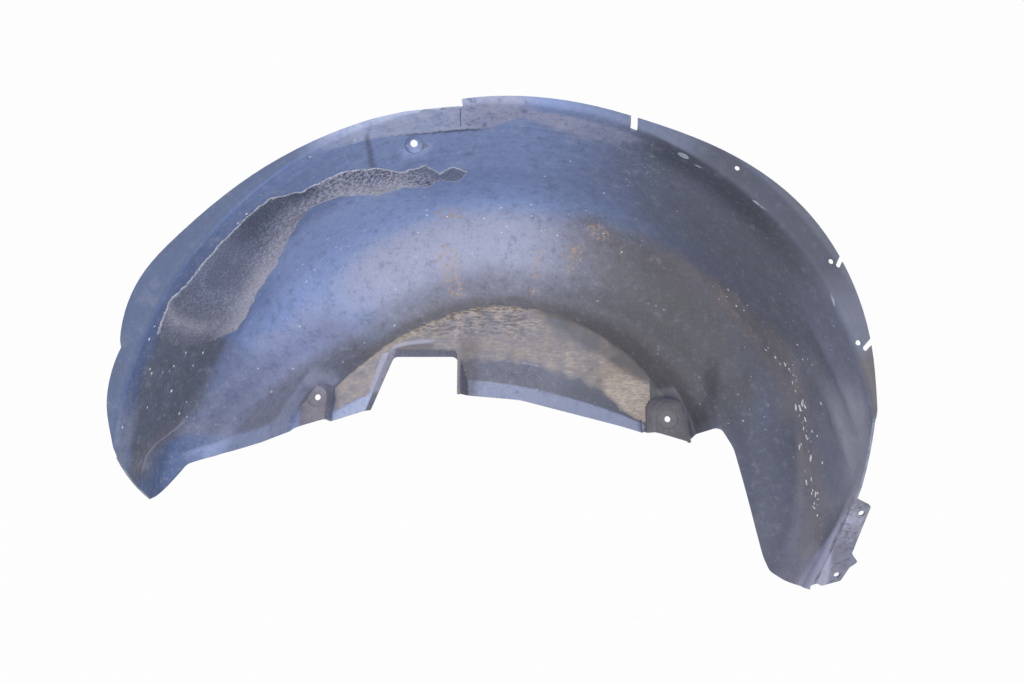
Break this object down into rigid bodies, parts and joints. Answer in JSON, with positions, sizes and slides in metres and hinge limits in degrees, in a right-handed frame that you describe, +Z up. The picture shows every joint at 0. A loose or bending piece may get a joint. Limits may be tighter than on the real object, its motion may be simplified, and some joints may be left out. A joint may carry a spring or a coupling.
{
  "type": "wheel arch liner",
  "caption": "Moulded plastic inner wheel arch liner: a half-round bowl over the tyre with a screw flange, screw pads, a damper notch and a right leg with a screw tab.",
  "frame": {"origin": "midway between the two flank screw holes, in the plane of the dished faces their screw heads sit on", "axes": "+X to the right as seen from the wheel, along the longest extent; +Y inboard, away from the wheel, along the shortest extent; +Z up. In the car the liner stands as it does here."},
  "size_m": [0.7789, 0.3205, 0.5216],
  "materials": {
    "liner_plastic": "weathered moulded plastic, blue-grey at the left and brown-grey at the right, with caked dirt and dust"
  },
  "bodies": {
    "root": {"arch_liner": "liner_plastic"}
  },
  "joints": []
}
